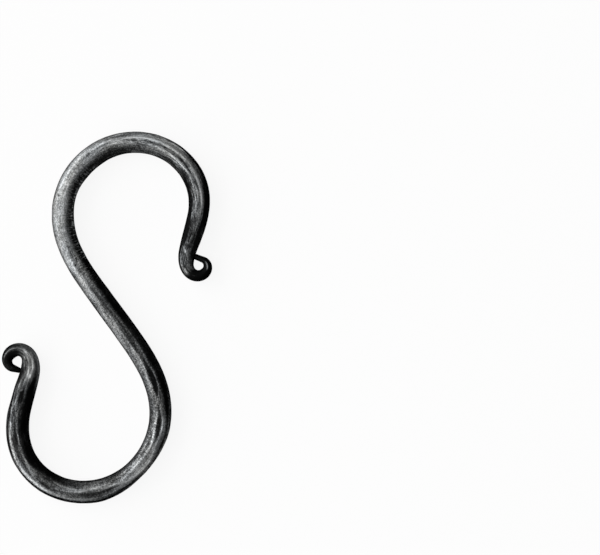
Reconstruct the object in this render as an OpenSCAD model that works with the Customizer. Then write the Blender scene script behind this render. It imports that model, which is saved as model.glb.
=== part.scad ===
// Hand-forged S hook, made from one round bar.
// Two opposed bowls meet in a straight shank. Each end is drawn down to a squared arm that
// curls back round a small eye until its point rests against the arm.
// The hook lies flat: long side along Y, thickness along Z, underside at Z = 0. Sizes in mm.

/* [Bar] */
// Diameter of the round bar
bar_d = 6; // [5:0.1:7]
// Straight length of the shank between the two bowls
shank_len = 12; // [4:0.1:40]
// Angle between the shank and the long side of the hook
shank_lean = 36; // [20:0.5:50]

/* [Upper bowl] */
// Centreline radius of the bowl at its crown
upper_bowl_r = 20.25; // [17:0.05:30]
// Centreline radius of the heel, the tightest place of the bowl
upper_heel_r = 15.85; // [13:0.05:20]
// Angle of the easing from the straight shank into the crown
upper_ease_angle = 29.5; // [15:0.5:45]
// Angle of the crown, at its full radius
upper_crown_angle = 59; // [40:0.5:70]
// Angle over which the crown tightens into the heel
upper_heel_angle = 123.5; // [100:0.5:135]
// Angle of the easing from the heel out to the neck
upper_exit_angle = 23; // [15:0.5:35]
// Width of the bar at the heel, in the plane of the hook
upper_heel_w = 5.8; // [5:0.05:7]

/* [Upper eye] */
// Width of the arm at the neck, where the curl begins
upper_neck_w = 4.9; // [4:0.05:6]
// Width at the root of the eye, where the curl meets the hole
upper_root_w = 3.9; // [3:0.05:5]
// Width where the straight point leaves the hole
upper_tail_w = 1.8; // [1.4:0.05:2.6]
// Width at the end of the point
upper_point_w = 1.55; // [1:0.05:2]
// Diameter of the hole that the curl is closed round
upper_eye_d = 1.9; // [1.8:0.05:4]
// Angle of the curl from the neck to the root of the eye
upper_lead_angle = 93; // [60:1:95]
// Angle of the curl round the hole
upper_wrap_angle = 174; // [165:1:200]

/* [Lower bowl] */
// Centreline radius of the bowl at its crown
lower_bowl_r = 22.15; // [17:0.05:30]
// Centreline radius of the heel, the tightest place of the bowl
lower_heel_r = 16.15; // [13:0.05:20]
// Angle of the easing from the straight shank into the crown
lower_ease_angle = 30.5; // [15:0.5:45]
// Angle of the crown, at its full radius
lower_crown_angle = 53.5; // [40:0.5:70]
// Angle over which the crown tightens into the heel
lower_heel_angle = 118; // [100:0.5:135]
// Angle of the easing from the heel out to the neck
lower_exit_angle = 31.5; // [15:0.5:35]
// Width of the bar at the heel, in the plane of the hook
lower_heel_w = 6.45; // [5:0.05:7]

/* [Lower eye] */
// Width of the arm at the neck, where the curl begins
lower_neck_w = 5.5; // [4:0.05:6]
// Width at the root of the eye, where the curl meets the hole
lower_root_w = 4.8; // [3:0.05:5]
// Width where the straight point leaves the hole
lower_tail_w = 2.2; // [1.4:0.05:2.6]
// Width at the end of the point
lower_point_w = 1.4; // [1:0.05:2]
// Diameter of the hole that the curl is closed round
lower_eye_d = 2.15; // [1.8:0.05:4]
// Angle of the curl from the neck to the root of the eye
lower_lead_angle = 66; // [50:1:90]
// Angle of the curl round the hole
lower_wrap_angle = 203; // [180:1:225]

/* [Drawn ends] */
// Height of the arms at the neck, across the plane of the hook
neck_h = 5.2; // [4:0.1:6]
// Height at the end of each point
point_h = 2.4; // [1.5:0.1:4]
// Squareness of the arms at the neck: 2 is round, 5 is nearly square
arm_square = 3.4; // [2:0.1:5]
// Squareness of the curled eyes and points
eye_square = 2.3; // [2:0.1:5]
// Length of the rounded nose that ends each point
nose_len = 0.2; // [0.15:0.05:0.8]
// Hairline gap between each point and the arm it closes on
eye_gap = 0.06; // [0.05:0.01:0.4]

/* [Hammering] */
// Depth of the hammered flats, as a multiple of the depths in the table of blows
blow_depth = 1; // [0:0.1:1.4]

/* [Resolution] */
// Sides of the bar's section
sides = 24; // [16:4:24]
// Distance between sections along the shank and bowls
bar_step = 1.7; // [1.6:0.1:3]
// Distance between sections along the eyes
eye_step = 0.45; // [0.42:0.01:0.8]

/* [Hidden] */

ROUND = 2;          // squareness of a round section
NOSE_RINGS = 3;     // sections in each rounded nose
EYE_BENDS = 3;      // bends over which an eye tapers: lead, wrap and tail
GRAZE = 0.1;        // least cosine between a blow and the side of the bar that it still reaches
CONVEXITY = 8;      // most times that a straight line passes into the hook

// Angles round the bar
OUTSIDE = 0;        // away from the centre of the bowl
UP = 90;
INSIDE = 180;
UNDER = 270;

// Bends of one end, from the middle of the shank. The straight point comes after the last one
BENDS = ["shank", "ease", "crown", "heel", "exit", "lead", "wrap"];
function number_of(name) = search([name], BENDS)[0];

// Blows of the hammer, each a flat that fades out at both ends: [bend, share of that bend,
// angle round the bar, length, depth]
upper_blows = [
    ["ease", 0.33, UP + 2, 24, 0.14],
    ["crown", 0.10, UNDER, 18, 0.10],
    ["crown", 0.45, INSIDE, 15, 0.26],
    ["heel", 0.12, UP + 6, 17, 0.12],
    ["heel", 0.41, UP + 2, 17, 0.16],
    ["heel", 0.50, UNDER + 8, 19, 0.12],
    ["heel", 0.68, UP - 18, 16, 0.12],
    ["heel", 0.91, UP + 4, 16, 0.12],
    ["exit", 0.82, UP - 12, 20, 0.22],
    ["lead", 0.90, OUTSIDE, 8.5, 0.70],
];
lower_blows = [
    ["ease", 0.14, UP - 2, 26, 0.14],
    ["ease", 0.70, UP, 12, 0.12],
    ["crown", 0.30, UP, 9.5, 0.12],
    ["crown", 0.92, OUTSIDE, 29, 0.75],
    ["crown", 0.80, UNDER, 18, 0.10],
    ["heel", 0.30, UP - 14, 20, 0.20],
    ["heel", 0.67, UP - 4, 18, 0.20],
    ["heel", 0.70, UNDER + 6, 18, 0.12],
    ["heel", 0.98, UP - 14, 24, 0.22],
    ["exit", 0.85, UP + 34, 12, 0.34],
    ["lead", 0.55, UP - 8, 8, 0.22],
    ["wrap", 0.03, OUTSIDE, 8.5, 0.70],
];

function mix(a, b, share) = a + (b - a) * share;

// A bend is [length, curvature at its start and at its end, spacing of its sections, taper]. Its
// curvature changes evenly, and its section with the share of its length to the power of taper.
function length_of(bend) = bend[0];
function straight(length, spacing) = [length, 0, 0, spacing, 1];
function turning(angle, k_start, k_end, spacing, taper = 1) =
    [2 * angle * PI / 180 / (k_start + k_end), k_start, k_end, spacing, taper];
function mirrored(bend) = [bend[0], -bend[1], -bend[2], bend[3], bend[4]];

// All bends of one end but the straight point. Its eye curls the other way from its bowl
function open_bends(bowl_r, heel_r, ease, crown, heel, exit, lead, wrap, hole_d, root_w, tail_w) =
    let (
        k_bowl = 1 / bowl_r,
        k_heel = 1 / heel_r,
        k_root = 2 / (hole_d + root_w),
        k_tail = 2 / (hole_d + tail_w)
    )
    [
        straight(shank_len / 2, bar_step),
        turning(ease, 0, k_bowl, bar_step),
        turning(crown, k_bowl, k_bowl, bar_step),
        turning(heel, k_bowl, k_heel, bar_step),
        turning(exit, k_heel, 0, bar_step, taper = 2),
        mirrored(turning(lead, 0, k_root, eye_step)),
        mirrored(turning(wrap, k_root, k_tail, eye_step))
    ];

// [width, height, squareness] in the middle of the shank and at the end of each bend
function gauges(heel_w, neck_w, root_w, tail_w, point_w) =
    let (bar = [bar_d, bar_d, ROUND])
    [
        bar,
        bar,
        bar,
        bar,
        [heel_w, bar_d, (ROUND + eye_square) / 2],
        [neck_w, neck_h, arm_square],
        [root_w, eye_height(1), eye_square],
        [tail_w, eye_height(2), eye_square],
        [point_w, eye_height(EYE_BENDS), eye_square]
    ];
function eye_height(bends_done) = mix(neck_h, point_h, bends_done / EYE_BENDS);

// Distance from the middle of the shank to the start of a bend, and to a share of its length
function start_of(bends, number) =
    number == 0 ? 0 : length_of(bends[number - 1]) + start_of(bends, number - 1);
function place(bends, number, share) = start_of(bends, number) + share * length_of(bends[number]);

// A section is [step that leads to it, curvature, width, height, squareness, distance from the
// middle of the shank]
function step_of(section) = section[0];
function curvature_of(section) = section[1];
function width_of(section) = section[2];
function height_of(section) = section[3];
function squareness_of(section) = section[4];
function distance_of(section) = section[5];
function sections(bends, gauges) = [
    for (number = [0 : len(bends) - 1])
        let (
            bend = bends[number],
            k_start = bend[1],
            k_end = bend[2],
            spacing = bend[3],
            taper = bend[4],
            count = ceil(length_of(bend) / spacing)
        )
        for (i = [1 : count])
            let (
                share = i / count,
                gauge = mix(gauges[number], gauges[number + 1], pow(share, taper)),
                curvature = mix(k_start, k_end, (i - 0.5) / count)
            )
            concat([length_of(bend) / count, curvature], gauge, [place(bends, number, share)])
];

// Walk along the centreline. A pose is [x, y, heading], and a positive curvature turns right
function advance(pose, section) =
    let (
        turn = -step_of(section) * curvature_of(section) * 180 / PI,
        bow = turn == 0 ? 1 : sin(turn / 2) / (turn / 2 * PI / 180),
        chord = step_of(section) * bow
    )
    [pose.x + chord * cos(pose.z + turn / 2), pose.y + chord * sin(pose.z + turn / 2), pose.z + turn];
function walk(list, start) =
    let (last = len(list))
    [for (i = 0, pose = start; i <= last; pose = i < last ? advance(pose, list[i]) : pose, i = i + 1) pose];
function ahead(pose) = [cos(pose.z), sin(pose.z)];
function aside(pose) = [-sin(pose.z), cos(pose.z)];

// How far the nose of a point can travel straight on before it is eye_gap from the arm, which
// is taken as discs [x, y, radius]
function nose_angle(i) = 90 * i / (NOSE_RINGS + 1);
function travel(pose, point_w, discs) =
    min([
        for (i = [0 : NOSE_RINGS + 1], side = [-1, 1], disc = discs)
            let (
                from = [pose.x, pose.y] + aside(pose) * side * point_w / 2 * cos(nose_angle(i)),
                to_disc = [disc.x, disc.y] - from,
                clear = disc.z + eye_gap,
                miss = to_disc * aside(pose),
                near = to_disc * ahead(pose)
            )
            if (abs(miss) < clear && near > 0)
                near - sqrt(clear * clear - miss * miss) - nose_len * sin(nose_angle(i))
    ]);

// One end from the middle of the shank to its point: [sections, poses, bends]
function end_of_hook(bends, gauges, point_w, start) =
    let (
        open = sections(bends, gauges),
        open_poses = walk(open, start),
        arm_start = start_of(bends, number_of("exit")),
        arm_end = start_of(bends, number_of("wrap")),
        arm = [
            for (i = [0 : len(open) - 1])
                let (pose = open_poses[i + 1], distance = distance_of(open[i]))
                if (distance > arm_start && distance < arm_end)
                    [pose.x, pose.y, width_of(open[i]) / 2]
        ],
        point_len = travel(open_poses[len(open)], point_w, arm),
        all_bends = concat(bends, [straight(point_len, eye_step)]),
        all_sections = sections(all_bends, gauges)
    )
    [all_sections, walk(all_sections, start), all_bends];

// Radius of a section at an angle round the bar: a superellipse, cut by the flats that reach it
function oval(section, angle) =
    let (
        n = squareness_of(section),
        across = abs(cos(angle)) * 2 / width_of(section),
        upright = abs(sin(angle)) * 2 / height_of(section)
    )
    pow(pow(across, n) + pow(upright, n), -1 / n);
function flat(section, blow, bends, angle) =
    let (
        name = blow[0],
        share = blow[1],
        blow_angle = blow[2],
        length = blow[3],
        full_depth = blow[4] * blow_depth,
        off = (distance_of(section) - place(bends, number_of(name), share)) * 2 / length,
        depth = full_depth * pow(1 - off * off, 2),
        facing = cos(angle - blow_angle)
    )
    abs(off) < 1 && facing > GRAZE ? (oval(section, blow_angle) - depth) / facing : bar_d;
function radius(section, blows, bends, angle) =
    min([oval(section, angle), for (blow = blows) flat(section, blow, bends, angle)]);

// Ring of points round one section. The ends face away from each other, so hand is 1 for the
// upper end and -1 for the lower one, which keeps the points of both in one order.
function ring(pose, section, blows, bends, hand, shrink, forward) = [
    for (i = [0 : sides - 1])
        let (
            angle = hand > 0 ? i * 360 / sides : 180 - i * 360 / sides,
            r = shrink * radius(section, blows, bends, angle),
            flat_place = [pose.x, pose.y] + ahead(pose) * forward + aside(pose) * r * cos(angle)
        )
        [flat_place.x, flat_place.y, r * sin(angle)]
];
function rings(end, blows, hand) =
    let (list = end[0], poses = end[1], bends = end[2], last = len(list) - 1)
    concat(
        [for (i = [0 : last]) ring(poses[i + 1], list[i], blows, bends, hand, 1, 0)],
        [
            for (i = [1 : NOSE_RINGS])
                let (shrink = cos(nose_angle(i)), forward = nose_len * sin(nose_angle(i)))
                ring(poses[last + 1], list[last], blows, bends, hand, shrink, forward)
        ]
    );
function nose_tip(end) =
    let (pose = end[1][len(end[1]) - 1], place = [pose.x, pose.y] + ahead(pose) * nose_len)
    [place.x, place.y, 0];

upper_end = end_of_hook(
    open_bends(
        upper_bowl_r, upper_heel_r, upper_ease_angle, upper_crown_angle, upper_heel_angle, upper_exit_angle,
        upper_lead_angle, upper_wrap_angle, upper_eye_d, upper_root_w, upper_tail_w
    ),
    gauges(upper_heel_w, upper_neck_w, upper_root_w, upper_tail_w, upper_point_w),
    upper_point_w,
    [0, 0, 90 + shank_lean]
);
lower_end = end_of_hook(
    open_bends(
        lower_bowl_r, lower_heel_r, lower_ease_angle, lower_crown_angle, lower_heel_angle, lower_exit_angle,
        lower_lead_angle, lower_wrap_angle, lower_eye_d, lower_root_w, lower_tail_w
    ),
    gauges(lower_heel_w, lower_neck_w, lower_root_w, lower_tail_w, lower_point_w),
    lower_point_w,
    [0, 0, shank_lean - 90]
);

upper_rings = rings(upper_end, upper_blows, 1);
lower_rings = rings(lower_end, lower_blows, -1);
all_rings = concat([for (i = [len(upper_rings) - 1 : -1 : 0]) upper_rings[i]], lower_rings);
last_ring = len(all_rings) - 1;
side_points = [for (points = all_rings) each points];
skin = concat(side_points, [nose_tip(upper_end), nose_tip(lower_end)]);

// Triangles between neighbouring rings, and fans that close the two noses
upper_tip = len(side_points);
lower_tip = upper_tip + 1;
function corner(ring_number, i) = ring_number * sides + i % sides;
facets = concat(
    [
        for (r = [0 : last_ring - 1], i = [0 : sides - 1])
            each [
                [corner(r, i), corner(r, i + 1), corner(r + 1, i + 1)],
                [corner(r, i), corner(r + 1, i + 1), corner(r + 1, i)]
            ]
    ],
    [for (i = [0 : sides - 1]) [corner(0, i + 1), corner(0, i), upper_tip]],
    [for (i = [0 : sides - 1]) [corner(last_ring, i), corner(last_ring, i + 1), lower_tip]]
);

// The hook is laid down so that its box is centred on the origin and stands on Z = 0
function column(points, axis) = [for (p = points) p[axis]];
function middle(values) = (min(values) + max(values)) / 2;
centre = [middle(column(skin, 0)), middle(column(skin, 1)), min(column(skin, 2))];

module s_hook() {
    color("#2c2e30")
        translate(-centre)
            polyhedron(points = skin, faces = facets, convexity = CONVEXITY);
}

s_hook();
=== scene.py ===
"""Looks of a hand-forged S hook: its hammered skin, its blackened steel and its studio.

Blender's side is in metres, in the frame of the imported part. The bar itself is worked out in
millimetres, and angles are in degrees.

A place on the bar is its distance along the bar from the upper point, and either an angle round
the bar or a distance across it as seen from above. Someone who walks along the bar from the upper
point has angle 0 and the distances below 0 on their left-hand side.
"""

import math

import bpy
import numpy as np
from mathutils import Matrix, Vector
from mathutils.bvhtree import BVHTree


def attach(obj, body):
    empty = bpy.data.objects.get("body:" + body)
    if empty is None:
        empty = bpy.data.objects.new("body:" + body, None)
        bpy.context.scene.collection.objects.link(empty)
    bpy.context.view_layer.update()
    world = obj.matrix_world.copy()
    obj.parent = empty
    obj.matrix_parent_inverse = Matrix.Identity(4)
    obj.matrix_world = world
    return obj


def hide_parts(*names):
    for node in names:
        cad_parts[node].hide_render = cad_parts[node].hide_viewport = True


NODE = "s_hook"
MM = 0.001

# Angles round the bar
LEFT, UP, RIGHT = 0, 90, 180


# ---------------------------------------------------------------- the bar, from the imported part


BAR_RADIUS_MM = 3
STEP_MM = 0.245  # distance between the rings of the skin
SIDES = 96  # points in a ring
NOSE_RINGS = 3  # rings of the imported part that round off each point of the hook
WELD_MM = 0.001  # corners closer than this are one point
SLACK = 1  # how far the first point of a ring may lie before its left-hand side


def welded(mesh):
    """The mesh's points in mm, with corners at one place made one, and its triangles."""
    co = np.empty(len(mesh.vertices) * 3, np.float32)
    mesh.vertices.foreach_get("co", co)
    mesh.calc_loop_triangles()
    corners = np.empty(len(mesh.loop_triangles) * 3, np.int32)
    mesh.loop_triangles.foreach_get("vertices", corners)
    places = np.round(co.reshape(-1, 3) / MM / WELD_MM).astype(np.int64)
    points, number = np.unique(places, axis=0, return_inverse=True)
    return points * WELD_MM, number.reshape(-1)[corners].reshape(-1, 3)


def layers(points, triangles):
    """The points in order along the bar: [upper nose], ring, ring, ... [lower nose].

    A nose is joined to every point of its ring, and so has more neighbours than any other point.
    """
    neighbours = [set() for _ in points]
    for a, b, c in triangles.tolist():
        neighbours[a] |= {b, c}
        neighbours[b] |= {a, c}
        neighbours[c] |= {a, b}
    most = max(len(n) for n in neighbours)
    noses = [i for i, n in enumerate(neighbours) if len(n) == most]
    front = [max(noses, key=lambda i: points[i][0])]
    seen = set(front)
    found = []
    while front:
        found.append(front)
        front = sorted({b for a in front for b in neighbours[a]} - seen)
        seen |= set(front)
    return found


def read_bar(node):
    """The bar as swept in the part: each ring's distance along it, centre, left and radii."""
    points, triangles = welded(node.data)
    found = layers(points, triangles)
    noses = points[found[0][0]], points[found[-1][0]]
    rings = [points[members] for members in found[1:-1]]
    middles = np.array([noses[0], *(ring.mean(0) for ring in rings), noses[1]])
    ahead = middles[2:] - middles[:-2]
    ordered = []
    for ring, middle, (dx, dy, _) in zip(rings, middles[1:-1], ahead):
        left = np.array([-dy, dx]) / math.hypot(dx, dy)
        height = ring[:, 2] - noses[0][2]
        angle = np.degrees(np.arctan2(height, (ring[:, :2] - middle[:2]) @ left))
        ordered.append(ring[np.argsort((angle + SLACK) % 360)])
    ordered = np.array(ordered)
    top = ordered.shape[1] // 4
    centre = ordered[:, top].copy()
    centre[:, 2] = noses[0][2]
    across = ordered[:, 0] - ordered[:, 2 * top]
    line = np.vstack([noses[0], centre, noses[1]])
    return {
        "noses": noses,
        "along": np.cumsum(np.linalg.norm(np.diff(line, axis=0), axis=1))[:-1],
        "centre": centre,
        "left": across / np.linalg.norm(across, axis=1, keepdims=True),
        "radius": np.linalg.norm(ordered - centre[:, None], axis=2),
    }


def smooth_through(knots, values, at):
    """A smooth curve through the values at the knots, read at other places."""
    slopes = np.gradient(values, knots, axis=0)
    i = np.clip(np.searchsorted(knots, at, side="right") - 1, 0, len(knots) - 2)
    gap = (knots[i + 1] - knots[i]).reshape(-1, *[1] * (values.ndim - 1))
    t = (at - knots[i]).reshape(gap.shape) / gap
    return (
        values[i] * (1 + 2 * t) * (1 - t) ** 2
        + values[i + 1] * t**2 * (3 - 2 * t)
        + gap * slopes[i] * t * (1 - t) ** 2
        - gap * slopes[i + 1] * t**2 * (1 - t)
    )


def fine_bar(bar):
    """The same bar with closer rings, apart from those of its noses, and more points in a ring."""
    knots = bar["along"]
    body = knots[NOSE_RINGS:-NOSE_RINGS]
    count = round((body[-1] - body[0]) / STEP_MM) + 1
    between = np.linspace(body[0], body[-1], count)
    along = np.concatenate([knots[:NOSE_RINGS], between, knots[-NOSE_RINGS:]])
    left = smooth_through(knots, bar["left"], along)
    angle = np.arange(SIDES) * 360 / SIDES
    three_turns = np.hstack([bar["radius"]] * 3)
    coarse = np.arange(three_turns.shape[1]) * 360 / bar["radius"].shape[1] - 360
    radius = smooth_through(coarse, three_turns.T, angle).T
    return {
        "noses": bar["noses"],
        "along": along,
        "angle": angle,
        "centre": smooth_through(knots, bar["centre"], along),
        "left": left / np.linalg.norm(left, axis=1, keepdims=True),
        "radius": smooth_through(knots, radius, along),
    }


# ---------------------------------------------------------------- the hammer's marks


# Flats left by the hammer: distance along the bar, angle round it, length and depth in mm
FLATS = [
    (20.5, UP - 9, 27, 0.34),
    (34.0, UP + 3, 17, 0.05),
    (37.5, UP + 33, 16, 0.12),
    (43.0, UP + 8, 22, 0.14),
    (54.0, UP + 9, 18, 0.14),
    (58.0, UP + 42, 15, 0.10),
    (104.5, UP + 2, 24, 0.10),
    (126.5, UP - 1, 27, 0.06),
    (139.6, UP + 2, 11, 0.16),
    (149.0, UP - 38, 16, 0.12),
    (153.2, UP - 1, 10, 0.13),
    (160.0, UP + 26, 16, 0.12),
    (163.5, UP - 5, 19, 0.24),
    (170.0, UP - 42, 16, 0.12),
    (178.8, UP - 12, 16, 0.12),
    (183.0, UP + 30, 22, 0.14),
    (193.5, UP - 3, 16, 0.12),
    (205.0, UP - 18, 26, 0.20),
    (208.0, UP - 46, 20, 0.12),
]

# Places where the bar is fuller, or thinner: distance along, angle, length and height in mm
SWELLS = [
    (21.5, LEFT, 16.0, 0.28),
    (37.0, RIGHT, 26.0, 0.26),
    (70.0, LEFT, 20.0, 0.12),
    (79.0, RIGHT, 40.0, 0.22),
    (122.0, RIGHT, 80.0, 0.15),
    (134.0, LEFT, 80.0, 0.19),
    (166.0, LEFT, 20.0, 0.12),
    (175.0, LEFT, 16.0, 0.16),
    (184.0, RIGHT, 50.0, 0.13),
    (218.0, LEFT, 8.0, -0.14),
    (221.5, RIGHT, 18.0, 0.30),
    (232.2, LEFT, 5.0, -0.28),
    (236.6, LEFT, 5.5, 0.12),
]

# Lesser flats all round the bar: how many, and the least and most of their length and depth in mm
LESSER_FLATS = 260
LESSER_LENGTH = (3, 10)
LESSER_DEPTH = (0.01, 0.035)

# Rubbed ridges and scratches: width in mm, how bright, and places (along, across). The first two,
# along the upper curl, are also painted bright as the curl's highlight line
STROKES = [
    # the upper curl's rubbed ridge, also painted bright as the curl's highlight line
    (0.22, 0.70, [(2.0, 0.1), (6.0, 0.0)]),
    (0.22, 0.70, [(6.0, 0.0), (8.0, -0.2), (10.0, -0.6), (12.0, -0.9)]),
    (0.25, 0.35, [(11.0, -1.0), (11.4, -0.7)]),
    (0.20, 0.50, [(16.3, -0.6), (17.0, -1.0), (17.6, -1.4)]),
    (0.18, 0.15, [(21.0, -1.9), (24.3, -1.6), (26.0, -1.2), (27.3, -0.9)]),
    (0.18, 0.15, [(28.0, -2.1), (30.0, -2.1)]),
    (0.18, 0.20, [(28.3, -0.6), (30.0, -0.6)]),
    (0.18, 0.42, [(26.5, 0.5), (29.0, 0.8), (33.0, 0.9), (36.0, 0.9), (40.0, 0.8)]),
    (0.18, 0.42, [(31.0, -0.8), (33.0, -0.9), (36.0, -0.7), (40.0, -0.5)]),
    (0.14, 0.22, [(36.0, -1.2), (38.5, -1.0)]),
    (0.18, 0.40, [(40.0, -0.4), (44.0, -0.4), (49.5, -0.5), (53.0, -0.3), (56.0, -0.1)]),
    (0.18, 0.42, [
        (42.0, 0.7), (43.5, 1.1), (46.0, 1.2), (48.0, 0.9),
        (53.0, 1.4), (56.0, 1.5), (60.0, 1.6),
    ]),
    (0.18, 0.35, [(55.6, -0.2), (56.0, 0.6), (56.5, 1.3)]),
    (0.18, 0.30, [(57.8, -0.2), (58.2, 0.8)]),
    (0.25, 0.35, [(60.0, 0.1), (62.0, 0.3), (64.0, 0.5), (67.5, 0.4)]),
    (0.22, 0.30, [(60.0, 1.6), (62.6, 1.6), (66.0, 1.7), (68.0, 1.2)]),
    (0.25, 0.12, [
        (100.0, 0.6), (104.0, 0.9), (108.0, 1.0),
        (112.0, 1.3), (116.0, 0.9), (134.0, 0.8),
    ]),
    (0.20, 0.25, [(106.3, -0.2), (109.0, -0.1)]),
    (0.18, 0.40, [(136.5, -0.7), (140.0, -0.8), (142.0, -0.62), (144.5, -0.15), (145.2, 0.3)]),
    (0.20, 0.30, [(147.0, -0.2), (149.3, -0.2)]),
    (0.20, 0.18, [(148.0, -0.9), (152.0, -1.0), (156.0, -0.95), (158.5, -0.4), (161.0, -0.4)]),
    (0.20, 0.42, [(149.0, 0.8), (151.0, 0.9), (157.5, 0.9)]),
    (0.22, 0.22, [(174.0, -1.6), (178.0, -1.7), (186.0, -1.9), (194.0, -1.9), (200.0, -2.3)]),
    (0.22, 0.35, [
        (171.0, -0.1), (174.0, 0.3), (178.0, 0.1),
        (182.0, 0.2), (187.0, 0.0), (192.0, -0.6),
    ]),
    (0.22, 0.25, [(204.0, -1.9), (208.0, -2.0), (211.5, -1.8), (217.0, -1.5), (219.5, -1.2)]),
    (0.28, 0.48, [
        (221.0, -0.6), (223.0, -0.6), (225.0, -0.2),
        (228.0, -0.3), (230.0, 0.0), (232.2, 0.7),
    ]),
    (0.28, 0.38, [(225.0, 0.5), (227.0, 0.8), (229.0, 1.0), (231.0, 1.5)]),
    (0.20, 0.30, [(227.0, -1.6), (230.0, -1.3), (232.0, -0.2)]),
    (0.22, 0.45, [(232.2, 0.7), (234.0, 0.7), (236.5, 0.8), (239.0, 1.0)]),
]

# Places where the steel is darker (less than 0) or lighter (more): black scale left whole or
# rubbed off, and painted shade on sides turned away from the lamps, on the inner sides of the
# bowls and beside the
# lower curl: along, across, length, width, how far
PATCHES = [
    (3.0, 0.0, 12, 9.0, -0.70),
    (8.0, 0.0, 5, 9.0, -0.55),
    (239.5, 0.0, 13, 9.0, -0.55),
    (2.0, 0.4, 3, 1.8, -0.35),
    (10.0, -1.2, 6, 1.8, -0.30),
    (10.0, 0.9, 6, 1.4, -0.10),
    (13.5, -0.6, 6, 2.2, 0.04),
    (19.5, -0.1, 6, 1.4, -0.20),
    # the next three are painted shade: on the inner side of the upper bowl, and on the outer side
    # of the upper arm, which is turned away from the lamps
    (19.5, -2.0, 16, 1.3, -0.36),
    (22.0, 2.3, 26, 2.5, -0.60),
    (22.0, -2.5, 36, 1.5, -0.50),
    (24.0, -2.4, 16, 0.9, -0.15),
    (26.0, -0.8, 8, 1.2, 0.13),
    (30.0, 1.0, 20, 0.9, 0.22),
    (34.0, -1.6, 14, 1.6, -0.20),
    (42.0, -2.0, 12, 0.9, -0.24),
    (36.0, -1.2, 22, 0.9, -0.10),
    (38.0, 2.9, 16, 1.0, -0.60),
    (50.0, -2.2, 12, 1.4, -0.14),
    (54.0, -1.2, 16, 0.9, -0.12),
    (66.0, 0.8, 9, 4.5, -0.12),
    (58.0, 2.9, 8, 1.0, -0.10),
    (40.0, 1.2, 20, 1.6, 0.42),
    (50.0, 1.6, 18, 1.6, 0.34),
    (50.0, 0.2, 8, 0.8, 0.10),
    (49.0, 0.3, 32, 3.2, 0.17),
    (80.0, 1.0, 52, 3.6, 0.26),
    (70.0, 0.6, 14, 1.6, -0.12),
    (88.0, 0.1, 14, 1.0, 0.10),
    (82.0, 2.4, 40, 1.4, 0.23),
    (76.0, -1.2, 20, 1.0, 0.15),
    (90.0, -1.0, 18, 1.4, 0.32),
    (98.0, -0.5, 6, 0.8, -0.14),
    (106.0, 0.2, 7, 1.0, -0.10),
    # painted shade on the inner side of the upper bowl's left limb
    (80.0, -2.4, 48, 2.4, -0.30),
    (108.0, 1.9, 26, 1.2, 0.10),
    (106.0, 1.6, 8, 1.0, -0.08),
    (114.0, 0.5, 10, 1.2, -0.06),
    (114.0, 2.0, 10, 1.8, 0.14),
    (105.5, 0.2, 9, 1.2, 0.20),
    (114.0, -0.5, 10, 2.0, 0.08),
    (122.0, 0.3, 8, 0.7, 0.10),
    (123.0, -0.6, 10, 0.8, -0.10),
    (122.0, 2.4, 12, 1.2, 0.20),
    # painted shade on the side of the middle bar that is turned away from the lamps
    (125.0, -2.2, 54, 2.4, -0.50),
    (138.0, 1.0, 8, 0.8, 0.15),
    (139.0, -0.8, 9, 1.0, -0.15),
    (135.0, 2.3, 24, 1.2, 0.06),
    (154.0, 2.5, 14, 1.4, -0.08),
    (157.0, -1.3, 16, 1.4, 0.30),
    (165.0, -0.2, 18, 3.0, 0.28),
    (165.5, -0.2, 14, 1.8, 0.24),
    (153.5, -1.4, 8, 1.4, 0.24),
    (164.0, -0.5, 14, 1.0, 0.08),
    (166.0, 0.9, 12, 1.0, -0.12),
    # painted shade on the outer side of the lower bowl's right limb, which is turned away from the
    # lamps
    (168.0, -2.1, 26, 1.0, -0.35),
    (170.0, 2.3, 8, 1.0, 0.12),
    (172.0, -1.1, 14, 1.0, 0.34),
    (179.0, 0.2, 10, 0.8, 0.12),
    # painted shade on the inner side of the lower bowl at its bottom
    (180.0, 2.6, 30, 1.6, -0.25),
    (185.0, -2.8, 28, 1.0, -0.70),
    (184.0, 1.6, 14, 1.4, 0.32),
    (188.0, -2.1, 26, 1.4, 0.18),
    (188.0, 0.0, 10, 2.6, 0.12),
    (195.0, 0.1, 14, 1.4, 0.30),
    (202.0, -1.8, 10, 0.9, 0.22),
    (200.0, -2.6, 18, 1.2, -0.18),
    (214.0, -2.8, 22, 1.0, -0.45),
    (216.0, -2.1, 11, 1.2, -0.22),
    (194.0, -0.3, 10, 1.8, 0.06),
    (219.0, -2.0, 16, 1.4, -0.14),
    (210.0, -0.4, 8, 1.0, -0.14),
    # the next two are painted shade on the inner side of the lower bowl's left limb
    (218.0, 2.8, 6, 1.0, -0.30),
    (206.0, 2.1, 34, 3.6, -0.60),
    (226.0, -1.6, 8, 1.8, -0.16),
    (228.0, 0.2, 10, 2.8, 0.22),
    # painted shadow of the lower curl on the neck's left side, over black scale; then painted
    # shade on the curl's inner side
    (228.0, -2.3, 12, 1.4, -0.50),
    (232.5, -1.6, 5, 1.2, -0.50),
    (234.0, 0.6, 6, 1.4, 0.25),
]

# Dark flats where the scale stayed whole, with crisp edges: as the patches
DARK_FLATS = [
    (45.5, 0.4, 8, 0.6, -0.18),
    (53.5, 0.5, 3, 0.7, -0.18),
    (57.3, 0.5, 2, 0.8, -0.18),
    (62.5, 0.9, 8, 0.6, -0.15),
    (139.3, 0.1, 11, 1.6, -0.25),
    (148.0, 0.3, 2.4, 0.5, -0.24),
    (152.8, 0.0, 9, 1.2, -0.21),
    (162.0, 0.3, 1.2, 0.8, -0.25),
    (168.5, 0.5, 1.2, 0.6, -0.25),
    (179.5, -0.75, 15, 1.3, -0.03),
    (219.3, -0.2, 4, 1.4, -0.28),
]

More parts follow.
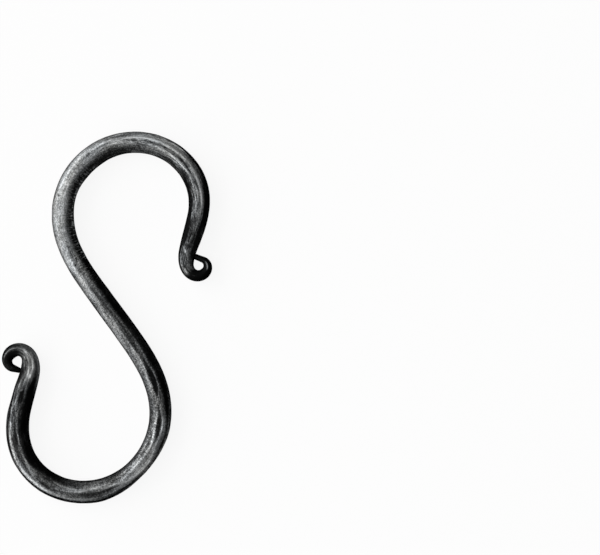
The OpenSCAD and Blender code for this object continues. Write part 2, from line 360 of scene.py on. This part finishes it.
# Small pits: along, across, width, depth
PITS = [(83.0, 1.9, 0.55, 0.06), (102.2, 0.7, 0.5, 0.06), (183.9, 1.1, 0.6, 0.05)]

# The bar is brushed along near its ends and speckled between them:
# where the speckle gets stronger and where it fades again
SPECKLED_FROM = (50, 75)
SPECKLED_TO = (190, 215)

# The same for the scratches that run across the bar on its dark side, the upper left,
# and the cosine and sine of the angle round the bar over which that side begins
CROSSED_FROM = (66, 78)
CROSSED_TO = (102, 114)
DARK_SIDE_COS = (-0.2, 0.3)
DARK_SIDE_SIN = (-0.1, 0.3)

# The same for all marks in the steel, which are fainter on the curled ends
MARKED_FROM = (6, 18)
MARKED_TO = (214, 224)
FAINTEST = 0.5  # their strength on the ends


# ---------------------------------------------------------------- the hammered surface


SEED = 7

CALM_END_MM = (0.3, 3.0)  # distances from a point of the hook over which roughness sets in
SOFTENED_ALONG_MM = 1.0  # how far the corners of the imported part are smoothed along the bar
SOFTENED_AROUND_MM = 0.25  # and round it
INSET_MM = 0.055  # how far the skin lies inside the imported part, to leave room for its lumps

GRAZE = 0.25  # least cosine between a flat and the side of the bar that it still reaches
FLAT_BLEND_MM = 0.02  # how far the edges of a flat are rounded
LESSER_BLEND_MM = 0.006
LEAST_BLEND_MM = 1e-6  # at the ends of a flat
PATCH_SOFT = 0.4  # softness of the edges of a patch, as a share of its size
DARK_FLAT_SOFT = 0.15

# Roughness: size along the bar, size round it and height, all in mm
ROUGHNESS = [
    (1.6, 0.8, 0.014),  # lumps
    (0.7, 0.4, 0.007),  # dents
    (0.28, 0.26, 0.005),  # scale
    (2.2, 0.16, 0.004),  # streaks
]

STROKE_HEIGHT_MM = 0.012
STROKE_GRAIN_MM = (0.5, 0.4)  # size of the patches in which a stroke is stronger or weaker
STROKE_MEAN, STROKE_SPREAD = 1.2, 0.5
STROKE_LIMITS = (0.3, 2)
STROKES_FROM = 0.25  # sine of the angle round the bar from which a stroke has its full strength

# How bright the steel is made, from 0 for whole scale to 1 for bare steel: mostly by how far it is
# rubbed, with painted shade and a painted highlight in it too
POLISH_MEAN = 0.475
POLISH_LIMITS = (-0.3, 1.3)
RIDGE_BLUR_MM = (0.7, 0.55)  # a ridge stands above the skin blurred by this
RIDGE_POLISH = 6  # for each mm of its height
RIDGE_LIMITS = (-0.4, 0.26)
STROKE_POLISH = 0.6
LUMP_POLISH = 0.05
PIT_POLISH = -6  # for each mm of its depth
# The outermost sides are darker: black scale kept there, and painted shade that keeps them from
# showing the white floor
SIDE_SCALE_AND_SHADE = -0.4
SIDE_COS = (0.9, 0.99)  # cosines of the angle round the bar over which its side begins


def smooth_step(value, low, high):
    """0 up to low, 1 from high on, and a smooth rise between them."""
    t = np.clip((value - low) / (high - low), 0, 1)
    return t * t * (3 - 2 * t)


def blurred(grid, along_mm, around_mm):
    """The grid with a Gaussian blur of those sizes. It wraps round the bar."""
    turns = np.fft.fftfreq(grid.shape[1], 1 / grid.shape[1])
    ends = 3 * round(along_mm / STEP_MM) + 1
    padded = np.pad(grid, ((ends, ends), (0, 0)), mode="edge")
    cycles = np.fft.fftfreq(len(padded), STEP_MM)
    spread = around_mm / BAR_RADIUS_MM
    lengthwise = -2 * (math.pi * cycles[:, None] * along_mm) ** 2
    keep = np.exp(lengthwise - (turns[None] * spread) ** 2 / 2)
    return np.real(np.fft.ifft2(np.fft.fft2(padded) * keep))[ends : ends + len(grid)]


def grain(random, shape, along_mm, around_mm):
    """Smooth seeded noise with a mean of 0 and a spread of 1, in patches of about those sizes."""
    noise = blurred(random.standard_normal(shape), along_mm, around_mm)
    return (noise - noise.mean()) / noise.std()


def lesser(a, b, blend):
    """The smaller of two grids, with the corner between them rounded."""
    share = np.clip(0.5 + 0.5 * (b - a) / blend, 0, 1)
    return b * (1 - share) + a * share - blend * share * (1 - share)


def fade_along(bar, along, length):
    """1 at a place on the bar, fading to 0 at half of that length to both sides of it."""
    off = (bar["along"][:, None] - along) * 2 / length
    return np.clip(1 - off * off, 0, 1) ** 2


def cut_flats(bar, radius, flats, blend):
    """Cuts each flat as a plane that sinks below the skin and leaves it again at its two ends."""
    for along, angle, length, depth in flats:
        fade = fade_along(bar, along, length)
        facing = np.cos(np.radians(bar["angle"] - angle))
        skin = (radius * facing).max(1, keepdims=True)
        plane = (skin - depth * fade) / np.maximum(facing, GRAZE)
        reach = (fade > 0) & (facing > GRAZE)
        radius = np.where(reach, lesser(radius, plane, blend * fade + LEAST_BLEND_MM), radius)
    return radius


def lesser_flats(random, length):
    """Seeded shallow flats over the whole bar, as the last light blows leave them."""
    share = random.random((LESSER_FLATS, 4))
    low = np.array([0, 0, LESSER_LENGTH[0], LESSER_DEPTH[0]])
    high = np.array([length, 360, LESSER_LENGTH[1], LESSER_DEPTH[1]])
    return (low + share * (high - low)).tolist()


def swollen(bar, radius, swells):
    """Fills the skin out (or draws it in) over a stretch of one side."""
    for along, angle, length, height in swells:
        facing = np.clip(np.cos(np.radians(bar["angle"] - angle)), 0, 1)
        radius = radius + height * fade_along(bar, along, length) * facing**2
    return radius


def line_field(bar, across, strokes):
    """How strongly a stroke covers each point of the upper side of the bar."""
    along = bar["along"][:, None]
    total = np.zeros_like(across)
    for width, strength, places in strokes:
        nearest = np.full(across.shape, np.inf)
        for (s0, w0), (s1, w1) in zip(places, places[1:]):
            ds, dw = s1 - s0, w1 - w0
            t = ((along - s0) * ds + (across - w0) * dw) / (ds * ds + dw * dw)
            t = np.clip(t, 0, 1)
            nearest = np.minimum(nearest, np.hypot(along - s0 - t * ds, across - w0 - t * dw))
        total = np.maximum(total, strength * np.exp(-((nearest / width) ** 2)))
    return total * np.clip(np.sin(np.radians(bar["angle"])) / STROKES_FROM, 0, 1)


def patch_field(bar, across, patches, soft):
    """How much lighter or darker the steel is made by patches with edges of that softness: scale
    rubbed off or left whole, and painted shade.
    """
    upper = np.sin(np.radians(bar["angle"])) > 0
    total = np.zeros_like(across)
    for along, place, length, width, change in patches:
        off = np.hypot((bar["along"][:, None] - along) * 2 / length, (across - place) * 2 / width)
        total += change * (1 - smooth_step(off, 1 - soft, 1 + soft)) * upper
    return total


def pit_field(bar, across, pits):
    """Depth in mm of the pits in the upper side of the bar."""
    upper = np.sin(np.radians(bar["angle"])) > 0
    total = np.zeros_like(across)
    for along, place, width, depth in pits:
        gap = np.hypot(bar["along"][:, None] - along, across - place)
        total += depth * np.exp(-((2 * gap / width) ** 2)) * upper
    return total


def hammered(bar):
    """Radii of the forged skin, and how bright each place is: how far it is rubbed, with painted
    shade and a painted highlight.
    """
    random = np.random.default_rng(SEED)
    shape = bar["radius"].shape
    cos = np.cos(np.radians(bar["angle"]))
    end = np.minimum(bar["along"], bar["along"][-1] - bar["along"])
    calm = smooth_step(end, *CALM_END_MM)[:, None]
    softened = blurred(bar["radius"], SOFTENED_ALONG_MM, SOFTENED_AROUND_MM)
    forged = bar["radius"] + calm * (softened - bar["radius"])
    cut = cut_flats(bar, swollen(bar, forged, SWELLS), FLATS, FLAT_BLEND_MM)
    cut = cut_flats(bar, cut, lesser_flats(random, bar["along"][-1]), LESSER_BLEND_MM)
    across = -cut * cos

    pressed = STROKE_MEAN + STROKE_SPREAD * grain(random, shape, *STROKE_GRAIN_MM)
    lines = line_field(bar, across, STROKES) * np.clip(pressed, *STROKE_LIMITS)
    patches = patch_field(bar, across, PATCHES, PATCH_SOFT)
    patches = patches + patch_field(bar, across, DARK_FLATS, DARK_FLAT_SOFT)
    pits = pit_field(bar, across, PITS)

    noises = [grain(random, shape, along_mm, around_mm) for along_mm, around_mm, _ in ROUGHNESS]
    rough = sum(height * noise for (_, _, height), noise in zip(ROUGHNESS, noises))
    lumps = noises[0]
    radius = cut + calm * (rough - INSET_MM) + STROKE_HEIGHT_MM * lines - pits

    ridge = calm * (radius - blurred(radius, *RIDGE_BLUR_MM))
    polish_and_shade = (
        POLISH_MEAN
        + np.clip(RIDGE_POLISH * ridge, *RIDGE_LIMITS)
        + STROKE_POLISH * lines
        # rubbing and whole scale, and painted shade, from the patches
        + patches
        + LUMP_POLISH * lumps
        # black scale and painted shade on the sides of the bar
        + SIDE_SCALE_AND_SHADE * smooth_step(np.abs(cos), *SIDE_COS)
        + PIT_POLISH * pits
    )
    return radius, np.clip(polish_and_shade, *POLISH_LIMITS)


# ---------------------------------------------------------------- the skin's mesh


DRAWN_MM = 1.2  # how much of each tip is drawn out to reach the arm
TOUCH_MM = 0.015  # gap left where a tip lies against the arm
ARM_BEHIND_MM = (9, 25)  # where that arm is, as distances from the tip along the bar
SHARP_ABOVE = 50  # angle between two faces


def ring_points(bar, centre, left, radius):
    """Points of each ring round its centre. left is the direction of angle 0."""
    angle = np.radians(bar["angle"])
    up = np.array([0, 0, 1])
    sideways = left * (radius * np.cos(angle))[..., None]
    rings = centre[:, None] + sideways + up * (radius * np.sin(angle))[..., None]
    return rings.reshape(-1, 3)


def skin_points(bar, radius):
    """Points of the skin in mm, ring by ring, with the two noses at the end."""
    rings = ring_points(bar, bar["centre"], bar["left"][:, None], radius)
    return np.vstack([rings, *bar["noses"]])


def straight_points(bar, radius):
    """The same points with the bar straightened, for patterns that follow the bar."""
    along = bar["along"]
    centre = np.stack([along, 0 * along, 0 * along], -1)
    rings = ring_points(bar, centre, np.array([0, 1, 0]), radius)
    return np.vstack([rings, [0, 0, 0], [along[-1], 0, 0]])


def room_ahead(arm, point, ahead):
    """How far a point of a tip can move ahead before it meets the arm."""
    spare = arm.ray_cast(point - DRAWN_MM * ahead, ahead)[3]
    return spare - DRAWN_MM - TOUCH_MM if spare else 0


def press_tips(bar, points):
    """Draws the bar out at its two points, so that each lies against the arm beside it."""
    rings = points[:-2].reshape(-1, SIDES, 3)
    for nose, walk in ((-2, slice(None)), (-1, slice(None, None, -1))):
        grid = rings[walk]
        behind = np.abs(bar["along"][walk] - bar["along"][walk][0])
        first, last = np.searchsorted(behind, ARM_BEHIND_MM)
        ahead = points[nose] - grid[np.searchsorted(behind, DRAWN_MM)].mean(0)
        ahead /= np.linalg.norm(ahead)
        arm_points = grid[first:last].reshape(-1, 3).tolist()
        arm = BVHTree.FromPolygons(arm_points, ring_faces(last - first))
        tip = grid[:NOSE_RINGS].reshape(-1, 3)
        reach = np.reshape([room_ahead(arm, point, ahead) for point in tip], (NOSE_RINGS, SIDES))
        fade = np.clip(1 - behind[NOSE_RINGS:] / DRAWN_MM, 0, 1)
        reach = np.vstack([reach, fade[:, None] * reach[-1]])
        points[nose] += room_ahead(arm, points[nose], ahead) * ahead
        grid += reach[..., None] * ahead
    return points


def ring_faces(rings):
    """Quads between neighbouring rings."""
    first = np.arange(SIDES)
    after = (first + 1) % SIDES
    start = np.arange(rings - 1)[:, None] * SIDES
    corners = [start + first, start + SIDES + first, start + SIDES + after, start + after]
    return np.stack(corners, -1).reshape(-1, 4).tolist()


def skin_faces(rings):
    """The quads, and fans round the two noses."""
    upper, lower = rings * SIDES, rings * SIDES + 1
    last = (rings - 1) * SIDES
    edges = [(a, (a + 1) % SIDES) for a in range(SIDES)]
    fans = [(a, b, upper) for a, b in edges] + [(last + b, last + a, lower) for a, b in edges]
    return ring_faces(rings) + fans


def mark_points(mesh, name, values, at_noses):
    """Gives each point of the skin a number, which the material reads by that name."""
    attribute = mesh.attributes.new(name, "FLOAT", "POINT")
    attribute.data.foreach_set("value", np.append(values, [at_noses] * 2).astype(np.float32))


def make_skin(node):
    """The hammered hook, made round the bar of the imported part."""
    bar = fine_bar(read_bar(node))
    radius, polish_and_shade = hammered(bar)
    points = press_tips(bar, skin_points(bar, radius))
    mesh = bpy.data.meshes.new("hammered_hook")
    mesh.from_pydata((points * MM).tolist(), [], skin_faces(len(radius)))
    mesh.shade_smooth()
    mesh.set_sharp_from_angle(angle=math.radians(SHARP_ABOVE))

    along = bar["along"][:, None]
    angle = np.radians(bar["angle"])
    all_sides = np.ones(SIDES)
    dark_side = smooth_step(np.cos(angle), *DARK_SIDE_COS)
    dark_side = dark_side * smooth_step(np.sin(angle), *DARK_SIDE_SIN)
    mark_points(mesh, "polish_and_shade", polish_and_shade, polish_and_shade.min())
    for name, start, stop, sides in (
        ("speckled", SPECKLED_FROM, SPECKLED_TO, all_sides),
        ("crossed", CROSSED_FROM, CROSSED_TO, dark_side),
        ("marked", MARKED_FROM, MARKED_TO, all_sides),
    ):
        share = smooth_step(along, *start) - smooth_step(along, *stop)
        mark_points(mesh, name, share * sides, 0)
    straight = mesh.attributes.new("bar_place", "FLOAT_VECTOR", "POINT")
    straight.data.foreach_set("vector", straight_points(bar, radius).astype(np.float32).ravel())

    hook = bpy.data.objects.new("hammered_hook", mesh)
    bpy.context.scene.collection.objects.link(hook)
    return hook


# ---------------------------------------------------------------- blackened steel


# Noises on the straightened bar: patches to the mm along it and across it, and detail
STREAK_NOISE = (0.25, 2.2, 3)
SPECKLE_NOISE = (2.4, 2.8, 2)
BRUSH_NOISE = (3.5, 0.6, 2)
HAIR_NOISE = (0.45, 3.0, 0)
SCRATCH_NOISE = (0.25, 4.3, 0)
CROSSING_NOISE = (3.6, 0.55, 0)
COOL_NOISE = (0.12, 0.35, 2)
PLAIN_ROUGHNESS = 0.5  # how strong the finer patches of a noise are
SPECKLE_ROUGHNESS = 0.65

# Parts of those noises that show as thin lines
HAIR_LINES = [(0.46, 0), (0.6, 1)]
SCRATCH_LINES = [(0.6, 0), (0.66, 1)]
CROSSING_LINES = [(0.57, 0), (0.65, 1)]

# How strongly each mark changes the tone, near the ends of the bar and between them
BRUSHED_MARKS = {"hair": 0.16, "speckle": 1.6}
SPECKLED_MARKS = {"streaks": 0.2, "speckle": 1.7, "brush": 0.5}
BRUSHED_SCRATCHES, SPECKLED_SCRATCHES = 0.4, 0.15
CROSSINGS = 0.6

# The same marks as relief
RELIEF_MARKS = {"speckle": 1.0, "streaks": 0.6, "brush": 0.3}
RELIEF_MM = 0.02

# How strong the marks, and the scratches across the bar, are where the steel is that bright, from
# rubbing or painted shade
MARKS_BY_POLISH = [(0, 0.5), (0.6, 1), (0.85, 0.85), (1, 1.2)]
CROSSINGS_BY_POLISH = [(0.3, 1), (0.75, 0)]

# The steel's grey, from whole scale or painted shade to bare steel, and its roughness
TONE_SHARE = 0.6  # part of these ramps that a tone of 1 reaches
GREY_BY_TONE = [(0, 0.006), (0.18, 0.035), (0.33, 0.12), (0.48, 0.23), (0.6, 0.38), (0.8, 0.6)]
ROUGHNESS_BY_TONE = [(0, 0.62), (0.3, 0.55), (0.6, 0.47)]
RED_SHARE = 0.985  # of the other two colours, so that the steel is slightly cool
TINTS = [(0.35, (1, 1, 0.99)), (0.65, (0.97, 0.995, 1.02))]
SPECULAR_TINT = 0.2

# Sockets of a Mix node that mixes colours. By name they can't be told from those for numbers
MIX_FACTOR, MIX_A, MIX_B, MIX_RESULT = 0, 6, 7, 2


def add_node(tree, kind, **inputs):
    """A node with those values in its inputs. An underscore stands for a space in their names."""
    node = tree.nodes.new(kind)
    for name, value in inputs.items():
        node.inputs[name.replace("_", " ")].default_value = value
    return node


def read_attribute(tree, name, output="Fac"):
    """What the points of the mesh say under that name."""
    node = tree.nodes.new("ShaderNodeAttribute")
    node.attribute_name = name
    return node.outputs[output]


def stretched_noise(tree, place, noise, roughness=PLAIN_ROUGHNESS):
    """One of the noises on the straightened bar."""
    along, across, detail = noise
    stretch = tree.nodes.new("ShaderNodeVectorMath")
    stretch.operation = "MULTIPLY"
    stretch.inputs[1].default_value = (along, across, across)
    tree.links.new(place, stretch.inputs[0])
    patches = add_node(tree, "ShaderNodeTexNoise", Scale=1, Detail=detail, Roughness=roughness)
    tree.links.new(stretch.outputs[0], patches.inputs["Vector"])
    return patches.outputs["Fac"]


def calculate(tree, operation, *terms):
    """A Math node's output. Each term is a number or another node's output."""
    node = tree.nodes.new("ShaderNodeMath")
    node.operation = operation
    for socket, term in zip(node.inputs, terms):
        if isinstance(term, (int, float)):
            socket.default_value = term
        else:
            tree.links.new(term, socket)
    return node.outputs[0]


def weighted_sum(tree, values, weights, start):
    """start + the sum of weight * (value - 0.5) over the named weights."""
    total = start - sum(0.5 * weight for weight in weights.values())
    for name, weight in weights.items():
        total = calculate(tree, "MULTIPLY_ADD", values[name], weight, total)
    return total


def ramp(tree, value, stops):
    """A colour ramp. Each stop is a position and a grey or a colour."""
    node = tree.nodes.new("ShaderNodeValToRGB")
    elements = node.color_ramp.elements
    while len(elements) < len(stops):
        elements.new(0.5)
    for element, (position, colour) in zip(elements, stops):
        element.position = position
        element.color = (*colour, 1) if isinstance(colour, tuple) else (colour, colour, colour, 1)
    tree.links.new(value, node.inputs["Fac"])
    return node.outputs["Color"]


def steel_tone(tree, place, marks):
    """How light the steel is: how far it is rubbed, with painted shade and a painted highlight,
    and its speckle, brushing and scratches.
    """
    polish_and_shade = read_attribute(tree, "polish_and_shade")
    speckled = read_attribute(tree, "speckled")
    strength = ramp(tree, polish_and_shade, MARKS_BY_POLISH)
    marked = read_attribute(tree, "marked")
    marked = calculate(tree, "MULTIPLY_ADD", marked, 1 - FAINTEST, FAINTEST)
    strength = calculate(tree, "MULTIPLY", strength, marked)

    mixed = tree.nodes.new("ShaderNodeMix")
    tree.links.new(speckled, mixed.inputs["Factor"])
    tree.links.new(weighted_sum(tree, marks, BRUSHED_MARKS, 0), mixed.inputs["A"])
    tree.links.new(weighted_sum(tree, marks, SPECKLED_MARKS, 0), mixed.inputs["B"])
    tone = calculate(tree, "MULTIPLY_ADD", mixed.outputs["Result"], strength, polish_and_shade)

    lines = ramp(tree, stretched_noise(tree, place, SCRATCH_NOISE), SCRATCH_LINES)
    fewer = SPECKLED_SCRATCHES - BRUSHED_SCRATCHES
    scratches = calculate(tree, "MULTIPLY_ADD", speckled, fewer, BRUSHED_SCRATCHES)
    scratches = calculate(tree, "MULTIPLY", lines, scratches)
    tone = calculate(tree, "MULTIPLY_ADD", scratches, strength, tone)

    lines = ramp(tree, stretched_noise(tree, place, CROSSING_NOISE), CROSSING_LINES)
    crossed = calculate(tree, "MULTIPLY", read_attribute(tree, "crossed"), CROSSINGS)
    crossed = calculate(tree, "MULTIPLY", crossed, ramp(tree, polish_and_shade, CROSSINGS_BY_POLISH))
    return calculate(tree, "MULTIPLY_ADD", lines, crossed, tone)


def blackened_steel():
    """Forged steel with black scale, brushed and rubbed bright on its ridges, with shade and a
    highlight painted into its grey.
    """
    material = bpy.data.materials.new("blackened_steel")
    material.use_nodes = True
    tree = material.node_tree
    shader = tree.nodes["Principled BSDF"]
    place = read_attribute(tree, "bar_place", "Vector")
    marks = {
        "streaks": stretched_noise(tree, place, STREAK_NOISE),
        "speckle": stretched_noise(tree, place, SPECKLE_NOISE, SPECKLE_ROUGHNESS),
        "brush": stretched_noise(tree, place, BRUSH_NOISE),
        "hair": ramp(tree, stretched_noise(tree, place, HAIR_NOISE), HAIR_LINES),
    }
    tone = calculate(tree, "MULTIPLY", steel_tone(tree, place, marks), TONE_SHARE)

    greys = [(at, (grey * RED_SHARE, grey, grey)) for at, grey in GREY_BY_TONE]
    tint = tree.nodes.new("ShaderNodeMix")
    tint.data_type = "RGBA"
    tint.blend_type = "MULTIPLY"
    tint.inputs[MIX_FACTOR].default_value = 1
    tree.links.new(ramp(tree, tone, greys), tint.inputs[MIX_A])
    cool = stretched_noise(tree, place, COOL_NOISE)
    tree.links.new(ramp(tree, cool, TINTS), tint.inputs[MIX_B])
    tree.links.new(tint.outputs[MIX_RESULT], shader.inputs["Base Color"])

    tree.links.new(ramp(tree, tone, ROUGHNESS_BY_TONE), shader.inputs["Roughness"])
    shader.inputs["Metallic"].default_value = 1
    shader.inputs["Specular Tint"].default_value = (SPECULAR_TINT,) * 3 + (1,)
    bump = add_node(tree, "ShaderNodeBump", Strength=1, Distance=RELIEF_MM * MM)
    tree.links.new(weighted_sum(tree, marks, RELIEF_MARKS, 0.5), bump.inputs["Height"])
    tree.links.new(bump.outputs["Normal"], shader.inputs["Normal"])
    return material


# ---------------------------------------------------------------- studio


PICTURE_WIDTH_PX = 600  # of a picture of 600 x 555
MM_PER_PX = 0.273
VIEW_CENTRE_MM = (52.68, 10.92)
LENS_MM = 200
SENSOR_MM = 36

# Soft lamps that face the object: name, azimuth, elevation, distance, width, height, radiance.
# Lengths are in metres
LAMPS = [
    ("key", 148, 26, 3, 3.2, 2.3, 3.3),
    ("fill", 212, 24, 3, 3.0, 2.1, 2.8),
    ("top", 160, 66, 2.5, 2.4, 2.4, 1.8),
]
WORLD_STRENGTH = 0.05

FLOOR_SIZE = 16
FLOOR_ALBEDO = 0.92
FLOOR_ROUGHNESS = 0.9
OWN_WHITE = 0.9  # share of the floor's white that is its own where it is seen


def add_camera():
    """A camera that looks straight down, with the picture's scale at the top of the bar."""
    data = bpy.data.cameras.new("camera")
    data.lens, data.sensor_width = LENS_MM, SENSOR_MM
    camera = bpy.data.objects.new("camera", data)
    bpy.context.scene.collection.objects.link(camera)
    distance = PICTURE_WIDTH_PX * MM_PER_PX * MM * LENS_MM / SENSOR_MM
    x, y = VIEW_CENTRE_MM
    camera.location = (x * MM, y * MM, distance + BAR_RADIUS_MM * MM)
    bpy.context.scene.camera = camera


def add_lamp(name, azimuth, elevation, distance, width, height, radiance):
    """A soft lamp that faces the object from that azimuth and elevation."""
    a, e = math.radians(azimuth), math.radians(elevation)
    x = distance * math.cos(e) * math.cos(a)
    y = distance * math.cos(e) * math.sin(a)
    place = Vector((x, y, distance * math.sin(e)))
    data = bpy.data.lights.new(name, "AREA")
    data.shape = "RECTANGLE"
    data.size, data.size_y = width, height
    data.energy = radiance * math.pi * width * height
    lamp = bpy.data.objects.new(name, data)
    bpy.context.scene.collection.objects.link(lamp)
    lamp.location = place
    lamp.rotation_euler = (-place).to_track_quat("-Z", "Y").to_euler()


def add_world():
    """Faint white light from all round."""
    world = bpy.data.worlds.new("studio")
    bpy.context.scene.world = world
    world.use_nodes = True
    background = world.node_tree.nodes["Background"]
    background.inputs["Color"].default_value = (1, 1, 1, 1)
    background.inputs["Strength"].default_value = WORLD_STRENGTH


def add_floor():
    """A pale floor. Most of its white is its own where the camera or a reflection looks at it."""
    bpy.ops.mesh.primitive_plane_add(size=FLOOR_SIZE)
    floor = bpy.context.object
    floor.name = "floor"
    material = bpy.data.materials.new("floor")
    material.use_nodes = True
    tree = material.node_tree
    paint = tree.nodes["Principled BSDF"]
    paint.inputs["Base Color"].default_value = (FLOOR_ALBEDO,) * 3 + (1,)
    paint.inputs["Roughness"].default_value = FLOOR_ROUGHNESS
    paint.inputs["Specular IOR Level"].default_value = 0
    white = add_node(tree, "ShaderNodeEmission", Strength=1)
    rays = tree.nodes.new("ShaderNodeLightPath")
    seen = 0
    for name in ("Is Camera Ray", "Is Glossy Ray", "Is Transmission Ray"):
        seen = calculate(tree, "MAXIMUM", seen, rays.outputs[name])
    mix = tree.nodes.new("ShaderNodeMixShader")
    tree.links.new(calculate(tree, "MULTIPLY", seen, OWN_WHITE), mix.inputs["Fac"])
    tree.links.new(paint.outputs["BSDF"], mix.inputs[1])
    tree.links.new(white.outputs["Emission"], mix.inputs[2])
    tree.links.new(mix.outputs["Shader"], tree.nodes["Material Output"].inputs["Surface"])
    floor.data.materials.append(material)


# ---------------------------------------------------------------- the scene


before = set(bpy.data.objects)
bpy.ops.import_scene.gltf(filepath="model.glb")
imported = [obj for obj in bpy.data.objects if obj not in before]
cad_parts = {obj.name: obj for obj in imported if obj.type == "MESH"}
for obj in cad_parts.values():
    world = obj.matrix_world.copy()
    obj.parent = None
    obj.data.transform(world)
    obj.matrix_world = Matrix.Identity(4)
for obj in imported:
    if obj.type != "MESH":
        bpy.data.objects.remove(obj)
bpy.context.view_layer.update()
bpy.context.scene.view_settings.view_transform = "Standard"

hook = make_skin(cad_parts[NODE])
hook.data.materials.append(blackened_steel())
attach(hook, "root")
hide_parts(NODE)

add_floor()
add_world()
for lamp in LAMPS:
    add_lamp(*lamp)
add_camera()
